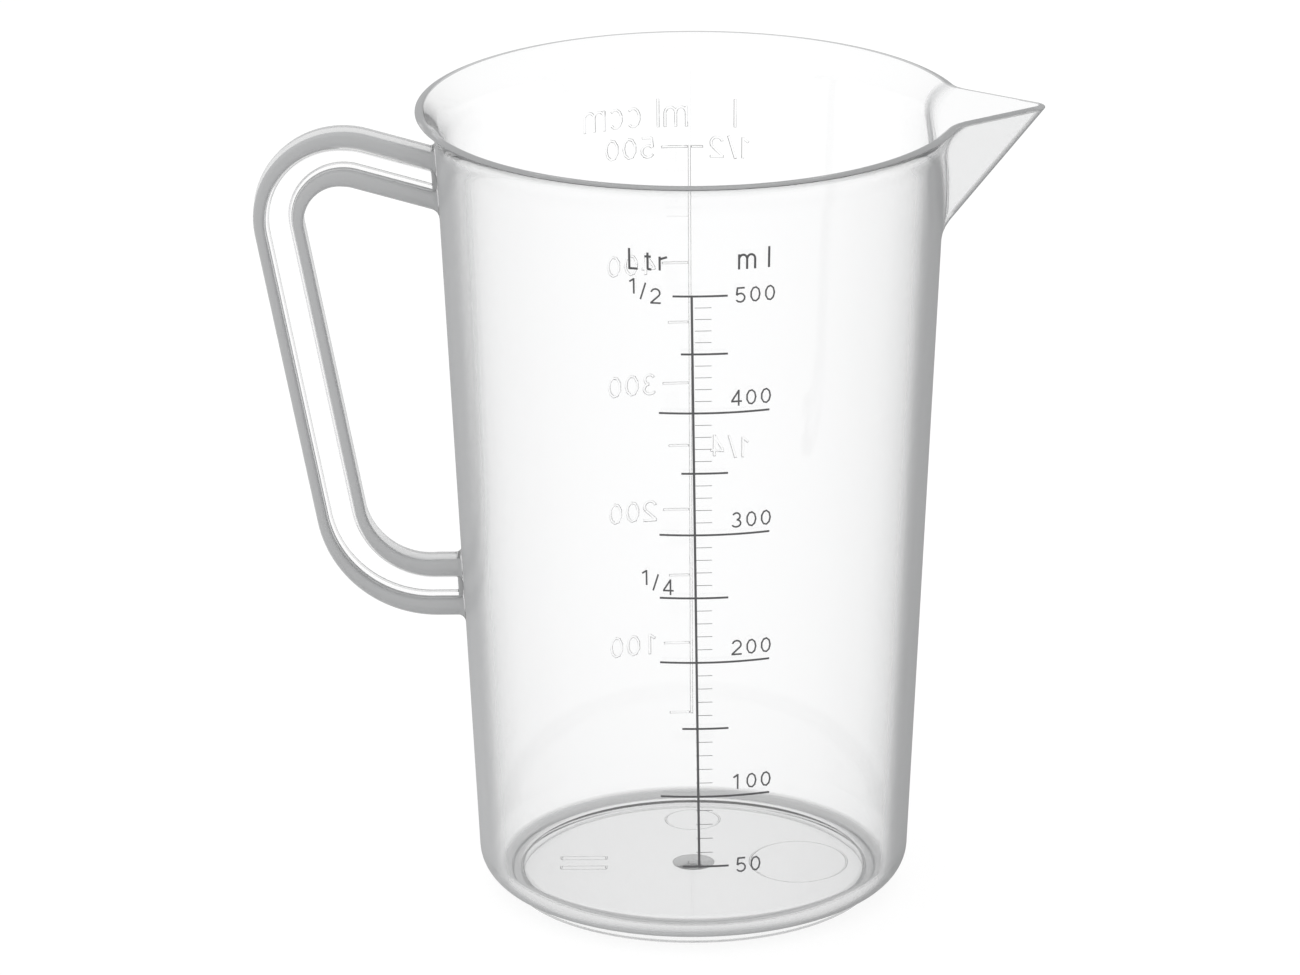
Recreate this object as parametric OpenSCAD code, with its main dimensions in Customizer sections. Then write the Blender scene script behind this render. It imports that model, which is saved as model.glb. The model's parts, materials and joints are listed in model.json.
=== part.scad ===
// Half-litre measuring jug, moulded in one shot from natural polypropylene.
// The moulding is drawn as the regions it is made of, which meet face to face.
// Origin: on the jug's axis at the resting plane. The spout points along +X,
// the handle along -X. The printed scale faces -Y and the moulded one +Y.

/* [Body] */
// Height from the table to the top of the rim
jug_h = 136.1; // [120:0.1:150]
// Radius at which the line of the outer wall would meet the table
base_r = 35.8; // [33:0.1:40]
// Draft of the wall from the vertical, in degrees
draft = 2.82; // [1.5:0.01:4]
// Thickness of the side wall
wall_t = 1.4; // [1:0.1:2]
// Thickness of the floor
floor_t = 1.4; // [1:0.1:2.4]
// Outer radius of the rounded bottom corner
corner_r = 5.2; // [4:0.1:5.8]
// Inner radius of the rounded bottom corner
fillet_r = 4.4; // [3.9:0.1:5.4]

/* [Foot] */
// Outer radius of the ring that the jug stands on
foot_r = 30.9; // [26:0.1:30.9]
// Width of the foot ring
foot_w = 1.8; // [1:0.1:4]
// Height of the foot ring, which is the gap under the floor
foot_h = 1.6; // [0.8:0.1:2]

/* [Rim] */
// How far the rim's outer edge stands out from the line of the wall
rim_out = 3.1; // [2.4:0.1:3.8]
// How far the rim rolls from the vertical, in degrees
flare_a = 58; // [48:1:70]
// Width of the rim's nearly level top
rim_w = 1.3; // [1:0.1:1.6]
// How far the rim's outer edge lies below its inner edge
rim_drop = 0.4; // [0.1:0.1:0.8]

/* [Spout] */
// Distance of the spout's tip from the jug's axis
spout_reach = 58.8; // [54:0.1:64]
// Angle between each spout wall and the spout's middle plane, in degrees
spout_half_a = 34.9; // [30:0.1:38]
// Outer radius of the spout's rounded tip and keel, seen from above
spout_tip_r = 2.6; // [2.2:0.1:3.6]
// Thickness of the spout's walls, seen from above
spout_t = 1.4; // [1:0.1:1.8]
// Slope of the spout's keel from the horizontal, in degrees
keel_a = 51; // [46:0.5:56]

/* [Handle] */
// Distance from the jug's axis to the outermost point of the handle
grip_reach = 72.4; // [68:0.1:80]
// How far the handle's crown lies below the top of the rim
crown_drop = 3.5; // [1.8:0.1:7]
// Height of the underside of the handle's lower arm
low_arm_z = 47.9; // [40:0.1:60]
// Outer radius of the crown
crown_r = 15; // [13:0.1:17]
// Outer radius of the bend below the grip
bend_r = 20.3; // [16:0.1:24]
// Rise of the upper arm away from the jug, in degrees
arm_a = 16; // [6:0.5:18]
// Lean of the grip from the vertical, in degrees
grip_a = 10.7; // [7:0.1:13]
// Depth of the handle's section at the grip
grip_depth = 8.3; // [7.5:0.1:10]
// Depth of the handle's section along the upper arm
arm_depth = 9.5; // [8.8:0.1:10.5]
// Depth of the handle's section along the lower arm
low_depth = 9.9; // [8.8:0.1:10.5]
// Width of the flanges, across the handle
flange_w = 5; // [4.8:0.1:9]
// Thickness of each flange at the grip
flange_t = 1.8; // [1.6:0.05:2.4]
// Thickness of each flange along both arms
arm_flange_t = 3; // [2:0.05:3.2]
// Chamfer on the long edges of the flanges
flange_edge = 0.6; // [0.3:0.05:0.75]
// Thickness of the web between the flanges
web_t = 1.5; // [1:0.1:2]
// Flare of the web where it meets a flange
web_flare = 0.9; // [0.4:0.1:1.1]

/* [Printed scale] */
// How far the full mark of both scales lies below the top of the rim
full_drop = 19.5; // [16:0.1:36]
// Thickness of the ink
ink_t = 0.08; // [0.04:0.01:0.15]
// Width of the long upright line
ink_line_w = 0.4; // [0.3:0.05:1]
// Distance of the upright line's middle to the right of the marks' middle
ink_line_x = 0.25; // [0:0.05:0.5]
// Sideways lean of the upright line, in degrees
ink_lean = 0.54; // [0:0.01:1.2]
// Width of the labelled and half-way marks
ink_mark_w = 0.33; // [0.25:0.01:0.6]
// Width of the fine marks
ink_fine_w = 0.18; // [0.15:0.01:0.35]
// Reach of the fine marks to the right of the middle
ink_fine_reach = 2.95; // [2:0.05:3.6]
// Reach of the short marks to the right of the middle
ink_short_right = 5.6; // [4.5:0.1:5.8]
// Reach of the short marks to the left of the middle
ink_short_left = 2; // [1.2:0.1:3]
// Reach of the long marks to the right of the middle
ink_long_right = 12.5; // [10:0.1:16]
// Reach of the long marks to the left of the middle
ink_long_left = 5.6; // [4:0.1:8]
// Reach of the full mark to the left of the middle
ink_full_left = 3.3; // [2:0.1:4]
// Height of the printed numerals
ink_char_h = 2.75; // [2:0.05:3.2]
// Distance from one printed numeral to the next
ink_pitch = 2.45; // [2.2:0.05:3]
// Width of the strokes of the printed numerals
ink_stroke = 0.28; // [0.2:0.01:0.4]
// Width of the strokes of the printed headings
ink_head_stroke = 0.36; // [0.25:0.01:0.5]

/* [Moulded scale] */
// How far the moulded scale stands out from the wall
relief = 0.25; // [0.1:0.05:0.4]
// Width of the moulded rib and its marks
rib_w = 0.5; // [0.4:0.05:1]
// Reach of the moulded hundreds marks from the middle
rib_long = 4.9; // [3:0.1:5.6]
// Reach of the moulded fifties marks from the middle
rib_short = 3.9; // [2:0.1:4.6]
// Reach of the full mark on the side of the fractions
rib_full = 2.4; // [1:0.1:2.6]
// Height of the moulded numerals
rib_char_h = 3.85; // [2.8:0.05:4.2]
// Distance from one moulded numeral to the next
rib_pitch = 3.15; // [2.9:0.05:3.5]
// Width of the strokes of the moulded numerals
rib_stroke = 0.5; // [0.3:0.05:0.6]

/* [Marks under the floor] */
// How far the marks stand down from the floor
mark_relief = 0.35; // [0.2:0.05:0.6]
// Radius of the pad where the plastic was fed in
gate_r = 3.55; // [2:0.05:5]
// Radius of the nub on that pad
nub_r = 0.9; // [0.5:0.05:1.5]
// Outer radius of the plain ring mark
ring_r = 4.85; // [3:0.05:6]
// Distance of the plain ring mark behind the axis
ring_y = 19.8; // [16:0.1:22]
// Width of the lines of the marks
mark_line_w = 0.4; // [0.25:0.05:0.8]
// Distance of the oval mark from the axis
oval_x = 17.8; // [15:0.1:18.5]
// Half length of the oval mark along the spout
oval_rx = 8.4; // [5:0.1:9]
// Half length of the oval mark across the spout
oval_ry = 9.6; // [5:0.1:11]
// Distance of the pair of bar marks from the axis
bars_x = 18.6; // [14:0.1:20]
// Length of each bar mark
bar_l = 8; // [4:0.1:10]
// Width of each bar mark
bar_w = 1.5; // [0.8:0.1:2.4]
// Distance between the middles of the two bar marks
bar_gap = 4.4; // [3:0.1:8]

/* [Hidden] */
$fn = 96;

plastic = [0.9, 0.91, 0.92, 0.55];
relief_tint = [0.8, 0.82, 0.84, 0.7];
ink = [0.3, 0.3, 0.31];

// Run-out of every cut past the face that it leaves
over = 2;
// Room between printed pieces that would otherwise run into each other
ink_gap = 0.02;

arc_steps = 10;
crown_steps = 18;
tip_steps = 8;
stroke_steps = 9;

floor_z = foot_h + floor_t;
full_z = jug_h - full_drop;
crown_z = jug_h - crown_drop;
wall_run = wall_t / cos(draft);
rim_edge = [outer_r(jug_h - rim_drop) + rim_out, jug_h - rim_drop];
rim_inner = [rim_edge[0] - rim_w, jug_h];
corner_c = [outer_r(foot_h + corner_r) - corner_r / cos(draft), foot_h + corner_r];
fillet_c = [inner_r(floor_z + fillet_r) - fillet_r / cos(draft), floor_z + fillet_r];
// The seam between the corner and the wall lies square to the wall
seam_in = fillet_c + fillet_r * [cos(draft), -sin(draft)];
seam_out = seam_in + wall_t * [cos(draft), -sin(draft)];

function outer_r(z) = base_r + z * tan(draft);
function inner_r(z) = outer_r(z) - wall_run;

// Points on an arc, from angle a to angle b
function arc(c, r, a, b, n) = [for (i = [0:n]) c + r * [cos(a + (b - a) * i / n), sin(a + (b - a) * i / n)]];
function backwards(list) = [for (i = [len(list) - 1:-1:0]) list[i]];

// An arc that leaves a wall's line smoothly and ends at a point, so far out from that line
function flare_arc(end, out) = let (
        r = out / (cos(draft) - cos(flare_a) - tan(draft) * (sin(flare_a) - sin(draft))))
    arc(end + r * [cos(flare_a), -sin(flare_a)], r, 180 - draft, 180 - flare_a, arc_steps);

corner_arc = arc(corner_c, corner_r, -90, -draft, arc_steps);
fillet_arc = arc(fillet_c, fillet_r, -90, -draft, arc_steps);
flare_out_arc = flare_arc(rim_edge, rim_out);
flare_in_arc = flare_arc(rim_inner, rim_inner[0] - inner_r(jug_h));
neck_r = flare_out_arc[0][0];

// Everything inside the jug, up to and past the rim
module cavity() {
    rotate_extrude()
        polygon(concat(
            [[0, floor_z]], fillet_arc, flare_in_arc,
            [[rim_inner[0], jug_h + over], [0, jug_h + over]]));
}

// The jug as if it were solid, without its spout and handle
module filled_jug() {
    rotate_extrude()
        polygon(concat(
            [[0, foot_h]], corner_arc, flare_out_arc,
            [rim_inner, [0, jug_h]]));
}

module body_wall() {
    color(plastic)
        difference() {
            rotate_extrude()
                polygon([seam_in, seam_out, flare_out_arc[0], flare_in_arc[0]]);
            spout_wedge(spout_tip_r, over);
        }
}

module base_corner() {
    color(plastic)
        rotate_extrude()
            polygon(concat([[fillet_c[0], foot_h]], corner_arc, [seam_out], backwards(fillet_arc)));
}

module floor_disc() {
    color(plastic)
        translate([0, 0, foot_h])
            cylinder(h = floor_t, r = fillet_c[0]);
}

module foot_ring() {
    color(plastic)
        rotate_extrude()
            translate([foot_r - foot_w, 0])
                square([foot_w, foot_h]);
}

module rim_lip() {
    color(plastic)
        difference() {
            rotate_extrude()
                polygon(concat(flare_out_arc, backwards(flare_in_arc)));
            spout_wedge(spout_tip_r, over);
        }
}

// Outline of the spout seen from above, with its tip rounded by radius r
keel_run = 1 / tan(keel_a);
spout_c = spout_reach - spout_tip_r;
spout_back = outer_r(0) / 2;
spout_drop = (spout_reach - neck_r + 2 * wall_t) / keel_run;

function spout_outline(r) = concat(
    [[spout_c - spout_back, -r / cos(spout_half_a) - spout_back * tan(spout_half_a)]],
    arc([spout_c, 0], r, spout_half_a - 90, 90 - spout_half_a, tip_steps),
    [[spout_c - spout_back, r / cos(spout_half_a) + spout_back * tan(spout_half_a)]]);

// The outline swept down along the keel, from a height above the rim
module spout_wedge(r, above) {
    outline = spout_outline(r);
    skin([for (lift = [-spout_drop, above])
        [for (p = outline) [p[0] + lift * keel_run, p[1], jug_h + lift]]]);
}

module spout() {
    color(plastic)
        difference() {
            spout_wedge(spout_tip_r, 0);
            spout_wedge(spout_tip_r - spout_t, over);
            cavity();
        }
}

// A closed skin over rings with the same number of points. Seen from the last
// ring, looking back at the first, each ring runs anticlockwise.
module skin(rings) {
    n = len(rings[0]);
    last = len(rings) - 1;
    polyhedron(
        points = [for (ring = rings) each ring],
        faces = concat(
            [[for (i = [0:n - 1]) i]],
            [for (k = [0:last - 1], i = [0:n - 1]) each [
                [k * n + i, (k + 1) * n + (i + 1) % n, k * n + (i + 1) % n],
                [k * n + i, (k + 1) * n + i, (k + 1) * n + (i + 1) % n]]],
            [[for (i = [n - 1:-1:0]) last * n + i]]));
}

// The handle's outer edge: upper arm, crown, grip, bend and lower arm
crown_c = [crown_r - grip_reach, crown_z - crown_r];
crown_end = crown_c - crown_r * [cos(grip_a), sin(grip_a)];
bend_cz = low_arm_z + bend_r;
grip_run = (crown_end[1] + bend_r * sin(grip_a) - bend_cz) / cos(grip_a);
bend_c = [crown_end[0] + grip_run * sin(grip_a) + bend_r * cos(grip_a), bend_cz];

function facing(a) = [cos(a), sin(a)];
// How far a facing angle lies from the grip's, as a share of the way to an arm's
function arm_share(a) = a < 180 + grip_a ? min(1, (180 + grip_a - a) / (90 + grip_a))
    : (a - 180 - grip_a) / (90 - grip_a);
function section_depth(a) =
    grip_depth + ((a < 180 + grip_a ? arm_depth : low_depth) - grip_depth) * arm_share(a);
function section_flange(a) = flange_t + (arm_flange_t - flange_t) * arm_share(a);

crown_angles = [for (i = [0:crown_steps]) 90 - arm_a + (90 + arm_a + grip_a) * i / crown_steps];
bend_angles = [for (i = [0:crown_steps]) 180 + grip_a + (90 - grip_a) * i / crown_steps];
// The straight ends reach into the wall, which trims them
arm_start = crown_c + crown_r * facing(90 - arm_a) - (crown_c[0] + neck_r - 2 * wall_t) * [1, -tan(arm_a)];
arm_end = [2 * wall_t - outer_r(low_arm_z), low_arm_z];

// Each station: place of the outer edge, its facing angle, depth of the section
// and thickness of its flanges
function station(place, a) = [place, a, section_depth(a), section_flange(a)];
stations = concat(
    [station(arm_start, 90 - arm_a)],
    [for (a = crown_angles) station(crown_c + crown_r * facing(a), a)],
    [for (a = bend_angles) station(bend_c + bend_r * facing(a), a)],
    [station(arm_end, 270)]);

// A point of the section, y across the handle and d inwards from its edge
function on_handle(s, y, d) = let (p = s[0] - d * facing(s[1])) [p[0], -y, p[1]];

function flange_ring(s, d) = let (
        half = flange_w / 2, top = d, low = d + s[3], e = flange_edge) [
    on_handle(s, -half + e, top), on_handle(s, half - e, top),
    on_handle(s, half, top + e), on_handle(s, half, low - e),
    on_handle(s, half - e, low), on_handle(s, -half + e, low),
    on_handle(s, -half, low - e), on_handle(s, -half, top + e)];

function web_ring(s) = let (
        half = web_t / 2, wide = half + web_flare, top = s[3], low = s[2] - s[3]) [
    on_handle(s, -wide, top), on_handle(s, wide, top),
    on_handle(s, half, top + web_flare), on_handle(s, half, low - web_flare),
    on_handle(s, wide, low), on_handle(s, -wide, low),
    on_handle(s, -half, low - web_flare), on_handle(s, -half, top + web_flare)];

module handle_outer_flange() {
    color(plastic)
        difference() {
            skin([for (s = stations) flange_ring(s, 0)]);
            filled_jug();
        }
}

module handle_inner_flange() {
    color(plastic)
        difference() {
            skin([for (s = stations) flange_ring(s, s[2] - s[3])]);
            filled_jug();
        }
}

module handle_web() {
    color(plastic)
        difference() {
            skin([for (s = stations) web_ring(s)]);
            filled_jug();
        }
}

// Height at which the jug holds a share of what it holds at the full mark
slope = tan(draft);
function cube_of(x) = x * x * x;
function mark_z(share) = (pow(
    cube_of(inner_r(floor_z)) + share * (cube_of(inner_r(full_z)) - cube_of(inner_r(floor_z))),
    1 / 3) - inner_r(0)) / slope;

marks = 10;
fine_marks = 50;
front = -90;
back = 90;

// Degrees round the wall for a distance along it
function turn(x, z) = x / outer_r(z) * 180 / PI;

// A raised band round part of the wall, from x0 to x1 along it
module band(side, x0, x1, z, w, t) {
    low = z - w / 2;
    high = z + w / 2;
    rotate([0, 0, side + turn(x0, z)])
        rotate_extrude(angle = turn(x1 - x0, z))
            polygon([
                [outer_r(low), low], [outer_r(low) + t, low],
                [outer_r(high) + t, high], [outer_r(high), high]]);
}

// Lays a flat piece against the wall, its middle at x along it
module on_wall(side, x, z, t) {
    rotate([0, 0, side + turn(x, z)])
        translate([outer_r(z), 0, z])
            rotate([0, draft, 0])
                rotate([90, 0, 90])
                    linear_extrude(t)
                        children();
}

ink_mid_z = (mark_z(1 / marks) + full_z) / 2;
function line_x(z) = ink_line_x + (ink_mid_z - z) * tan(ink_lean);

module printed_line() {
    length = (full_z - mark_z(1 / marks)) / cos(draft) + ink_mark_w;
    color(ink)
        on_wall(front, ink_line_x, ink_mid_z, ink_t)
            rotate(ink_lean)
                square([ink_line_w, length], center = true);
}

// One printed mark, parted where the upright line crosses it
module ink_mark(z, left, right, w) {
    edge = ink_line_w / 2 + ink_gap;
    if (left > 0)
        band(front, -left, line_x(z) - edge, z, w, ink_t);
    band(front, line_x(z) + edge, right, z, w, ink_t);
}

module printed_marks() {
    color(ink)
        for (i = [1:marks]) {
            long = i % 2 == 0 && i < marks;
            left = i == marks ? ink_full_left : long || i == marks / 2 ? ink_long_left : ink_short_left;
            ink_mark(mark_z(i / marks), left, long ? ink_long_right : ink_short_right, ink_mark_w);
        }
}

module printed_fine_marks() {
    per_mark = fine_marks / marks;
    color(ink)
        for (i = [per_mark:fine_marks])
            if (i % per_mark != 0)
                ink_mark(mark_z(i / fine_marks), 0, ink_fine_reach, ink_fine_w);
}

// Strokes of each character, as shares of its height. A stroke is a line
// [x, y, x, y] or an arc [x, y, x radius, y radius, first angle, last angle].
function char_shares(c) =
    c == "0" ? [[0.31, 0.5, 0.27, 0.44, 0, 360]]
    : c == "1" ? [[0.36, 0.02, 0.36, 0.98], [0.36, 0.94, 0.1, 0.76]]
    : c == "2" ? [[0.31, 0.68, 0.26, 0.26, 165, -38], [0.51, 0.52, 0.04, 0.08], [0, 0.06, 0.62, 0.06]]
    : c == "3" ? [[0.3, 0.72, 0.22, 0.22, 155, -85], [0.29, 0.28, 0.27, 0.23, 85, -150]]
    : c == "4" ? [[0.45, 0, 0.45, 1], [0.43, 0.93, 0.05, 0.32], [0, 0.28, 0.64, 0.28]]
    : c == "5" ? [[0.56, 0.94, 0.12, 0.94], [0.13, 0.97, 0.08, 0.5], [0.3, 0.33, 0.27, 0.27, 145, -150]]
    : c == "/" ? [[0.08, -0.02, 0.4, 1.02]]
    : c == "L" ? [[0.1, 0, 0.1, 1.3], [0.05, 0.05, 0.6, 0.05]]
    : c == "t" ? [[0.3, 0.06, 0.3, 1.08], [0.12, 0.84, 0.5, 0.84], [0.28, 0.06, 0.52, 0.04]]
    : c == "r" ? [[0.12, 0, 0.12, 0.86], [0.14, 0.7, 0.56, 0.84]]
    : c == "m" ? [[0.02, 0, 0.02, 0.94], [0.26, 0.62, 0.24, 0.28, 175, 0], [0.5, 0, 0.5, 0.64],
        [0.74, 0.62, 0.24, 0.28, 175, 0], [0.98, 0, 0.98, 0.64]]
    : c == "l" ? [[0.3, 0, 0.3, 1.3]]
    : [[0.32, 0.5, 0.28, 0.42, 45, 315]];

function on_oval(s, h, grow, a) =
    [s[0] * h + (s[2] * h + grow) * cos(a), s[1] * h + (s[3] * h + grow) * sin(a)];
function sweep_angles(s) = [for (i = [0:stroke_steps]) s[4] + (s[5] - s[4]) * i / stroke_steps];

module stroke(s, h, w) {
    if (len(s) == 4) {
        run = h * [s[2] - s[0], s[3] - s[1]];
        translate([s[0] * h, s[1] * h])
            rotate(atan2(run[1], run[0]))
                translate([0, -w / 2])
                    square([norm(run), w]);
    } else if (s[5] - s[4] == 360) {
        difference() {
            polygon([for (a = sweep_angles(s)) on_oval(s, h, w / 2, a)]);
            polygon([for (a = sweep_angles(s)) on_oval(s, h, -w / 2, a)]);
        }
    } else {
        polygon(concat(
            [for (a = sweep_angles(s)) on_oval(s, h, w / 2, a)],
            [for (a = backwards(sweep_angles(s))) on_oval(s, h, -w / 2, a)]));
    }
}

// One character against the wall, its foot at height z and its middle at x
module wall_char(side, c, x, z, h, w, t) {
    half_width_share = c == "m" ? 0.5 : 0.31;
    on_wall(side, x, z, t)
        translate([-half_width_share * h, 0])
            for (s = char_shares(c))
                stroke(s, h, w);
}

// A row of characters that starts with the middle of its first at x
module wall_row(side, chars, x, z, pitch, h, w, t) {
    for (i = [0:len(chars) - 1])
        wall_char(side, chars[i], x + i * pitch, z, h, w, t);
}

// A fraction whose first numeral stands higher than its last
module wall_fraction(side, last, x, z, pitch, step, h, w, t) {
    wall_char(side, "1", x, z + 2 * step, h, w, t);
    wall_char(side, "/", x + pitch, z + step, h, w, t);
    wall_char(side, last, x + 2 * pitch, z, h, w, t);
}

label_clear = ink_char_h * 0.4;
label_x = ink_short_right + ink_char_h * 0.5;
fraction_x = ink_long_left + ink_char_h * 1.5;
fraction_pitch = ink_pitch * 0.75;
fraction_step = ink_char_h * 0.28;

module printed_numerals() {
    color(ink) {
        for (i = [2:2:marks - 2])
            wall_row(front, str(i / 2, "00"), label_x, mark_z(i / marks) + label_clear,
                ink_pitch, ink_char_h, ink_stroke, ink_t);
        wall_row(front, "500", label_x + ink_char_h / 4, full_z - ink_char_h / 2,
            ink_pitch, ink_char_h, ink_stroke, ink_t);
        wall_row(front, "50", label_x + ink_char_h / 4, mark_z(1 / marks) - ink_char_h / 2,
            ink_pitch, ink_char_h, ink_stroke, ink_t);
        wall_fraction(front, "2", -fraction_x, full_z - ink_char_h / 2,
            fraction_pitch, fraction_step, ink_char_h, ink_stroke, ink_t);
        wall_fraction(front, "4", -fraction_x + fraction_pitch, mark_z(1 / 2) + label_clear / 2,
            fraction_pitch, fraction_step, ink_char_h, ink_stroke, ink_t);
    }
}

heading_z = full_z + ink_char_h * 1.6;

module printed_headings() {
    color(ink) {
        wall_row(front, "Ltr", -fraction_x, heading_z, ink_pitch, ink_char_h, ink_head_stroke, ink_t);
        wall_char(front, "m", label_x + ink_char_h * 0.65, heading_z, ink_char_h, ink_head_stroke, ink_t);
        wall_char(front, "l", label_x + ink_char_h * 0.65 + 1.5 * ink_pitch, heading_z,
            ink_char_h, ink_head_stroke, ink_t);
    }
}

module moulded_rib() {
    length = (full_z - mark_z(1 / marks)) / cos(draft) + rib_w;
    color(relief_tint)
        on_wall(back, 0, ink_mid_z, relief)
            square([rib_w, length], center = true);
}

module moulded_marks() {
    edge = rib_w / 2 + ink_gap;
    color(relief_tint) {
        for (i = [1:marks])
            band(back, edge, i % 2 == 0 ? rib_long : rib_short, mark_z(i / marks), rib_w, relief);
        band(back, -rib_full, -edge, full_z, rib_w, relief);
    }
}

rib_label_x = rib_long + rib_char_h * 0.6;
rib_fraction_x = rib_full + rib_char_h * 0.6;

module moulded_numerals() {
    color(relief_tint) {
        for (i = [2:2:marks])
            wall_row(back, str(i / 2, "00"), rib_label_x, mark_z(i / marks) - rib_char_h / 2,
                rib_pitch, rib_char_h, rib_stroke, relief);
        for (i = [marks / 2, marks])
            for (k = [0:2])
                wall_char(back, i == marks ? "1/2"[k] : "1/4"[k],
                    k * rib_pitch * 0.75 - rib_fraction_x - 1.5 * rib_pitch,
                    mark_z(i / marks) - rib_char_h / 2, rib_char_h, rib_stroke, relief);
    }
}

rib_heading_z = full_z + rib_char_h * 0.9;

module moulded_headings() {
    color(relief_tint) {
        wall_char(back, "l", -rib_fraction_x - rib_pitch, rib_heading_z, rib_char_h, rib_stroke, relief);
        wall_char(back, "m", rib_char_h * 0.6, rib_heading_z, rib_char_h, rib_stroke, relief);
        wall_char(back, "l", rib_char_h * 1.4, rib_heading_z, rib_char_h, rib_stroke, relief);
        wall_row(back, "cc", rib_char_h * 2.5, rib_heading_z, rib_pitch, rib_char_h, rib_stroke, relief);
        wall_char(back, "m", rib_char_h * 2.7 + 2 * rib_pitch, rib_heading_z, rib_char_h, rib_stroke, relief);
    }
}

module gate_pad() {
    color(relief_tint)
        translate([0, 0, foot_h - mark_relief]) {
            cylinder(h = mark_relief, r = gate_r);
            translate([0, 0, -mark_relief / 2])
                cylinder(h = mark_relief, r = nub_r);
        }
}

module ring_mark() {
    color(relief_tint)
        translate([0, ring_y, foot_h - mark_relief])
            difference() {
                cylinder(h = mark_relief, r = ring_r);
                translate([0, 0, -over])
                    cylinder(h = mark_relief + 2 * over, r = ring_r - mark_line_w);
            }
}

function oval(grow) = [for (i = [0:4 * arc_steps - 1])
    let (a = 360 * i / (4 * arc_steps)) [(oval_rx + grow) * cos(a), (oval_ry + grow) * sin(a)]];

module oval_mark() {
    color(relief_tint)
        translate([oval_x, 0, foot_h - mark_relief])
            linear_extrude(mark_relief)
                difference() {
                    polygon(oval(0));
                    polygon(oval(-mark_line_w));
                }
}

// A plain frame in place of each small picture
module bar_marks() {
    color(relief_tint)
        for (side = [-1, 1])
            translate([-bars_x, side * bar_gap / 2, foot_h - mark_relief])
                linear_extrude(mark_relief)
                    difference() {
                        square([bar_l, bar_w + mark_line_w], center = true);
                        square([bar_l - 2 * mark_line_w, bar_w - mark_line_w], center = true);
                    }
}

body_wall();
base_corner();
floor_disc();
foot_ring();
rim_lip();
spout();
handle_outer_flange();
handle_inner_flange();
handle_web();
printed_line();
printed_marks();
printed_fine_marks();
printed_numerals();
printed_headings();
moulded_rib();
moulded_marks();
moulded_numerals();
moulded_headings();
gate_pad();
ring_mark();
oval_mark();
bar_marks();
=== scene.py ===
"""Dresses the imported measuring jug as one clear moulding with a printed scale.

The sizes are in millimetres, as on the maker's drawing, and become metres
where a mesh is made. The jug stands at the origin with its spout along +X,
its handle along -X and its printed scale towards -Y.
"""

import json
import logging
import math
from dataclasses import dataclass
from enum import Enum
from typing import Callable

import bmesh
import bpy
import numpy as np
from mathutils import Matrix, Vector

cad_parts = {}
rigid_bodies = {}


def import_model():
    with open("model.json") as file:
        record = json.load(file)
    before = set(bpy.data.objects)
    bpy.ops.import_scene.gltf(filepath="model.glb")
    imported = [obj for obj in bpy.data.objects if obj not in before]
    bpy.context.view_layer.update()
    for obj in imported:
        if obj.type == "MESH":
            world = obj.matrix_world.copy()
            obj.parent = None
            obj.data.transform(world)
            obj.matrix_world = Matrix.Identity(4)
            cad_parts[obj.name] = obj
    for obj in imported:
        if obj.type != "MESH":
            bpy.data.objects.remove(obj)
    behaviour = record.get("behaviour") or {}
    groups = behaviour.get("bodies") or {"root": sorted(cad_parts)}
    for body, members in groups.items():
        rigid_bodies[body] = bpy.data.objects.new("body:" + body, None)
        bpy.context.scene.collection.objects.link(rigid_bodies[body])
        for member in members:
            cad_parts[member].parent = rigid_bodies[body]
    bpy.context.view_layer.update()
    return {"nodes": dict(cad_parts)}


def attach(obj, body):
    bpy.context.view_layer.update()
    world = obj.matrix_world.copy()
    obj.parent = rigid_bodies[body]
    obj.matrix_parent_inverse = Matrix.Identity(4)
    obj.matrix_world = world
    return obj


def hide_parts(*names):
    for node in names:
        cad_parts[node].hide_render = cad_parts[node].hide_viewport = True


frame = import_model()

MM = 0.001
# In metres: a union's edge that is shorter than this is a sliver.
WELD = 0.000001
# In millimetres: the reach of a shape in a direction in which it isn't.
NOWHERE = -1000.0
BODY = "root"
# Painted attributes: 'haze' adds milk as painted shade and painted light, partly the keel's own milk,
# and 'thin' takes milk off the flare as painted light.
PAINTED_LIGHT_SHADE_AND_MILK = "haze"
PAINTED_FLARE_LIGHT = "thin"
Pair = tuple[float, float]
Triple = tuple[float, float, float]
Socket = bpy.types.NodeSocket
Term = Socket | bpy.types.Node | float | tuple[float, ...]
log = logging.getLogger("measuring_jug")


class Slot(Enum):
    """The record's material slots that the pieces take."""

    CLEAR = "clear_plastic"
    INK = "printed_ink"


class Skin(Enum):
    """The parts of the moulding's surface, by the number of their finish."""

    INSIDE = 0
    OUTSIDE = 1
    THICK = 2
    LIP = 3
    FLOOR = 4
    GATE = 5
    # A lighter copy of the plastic inside the spout: painted light.
    ROOT = 6


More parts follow.
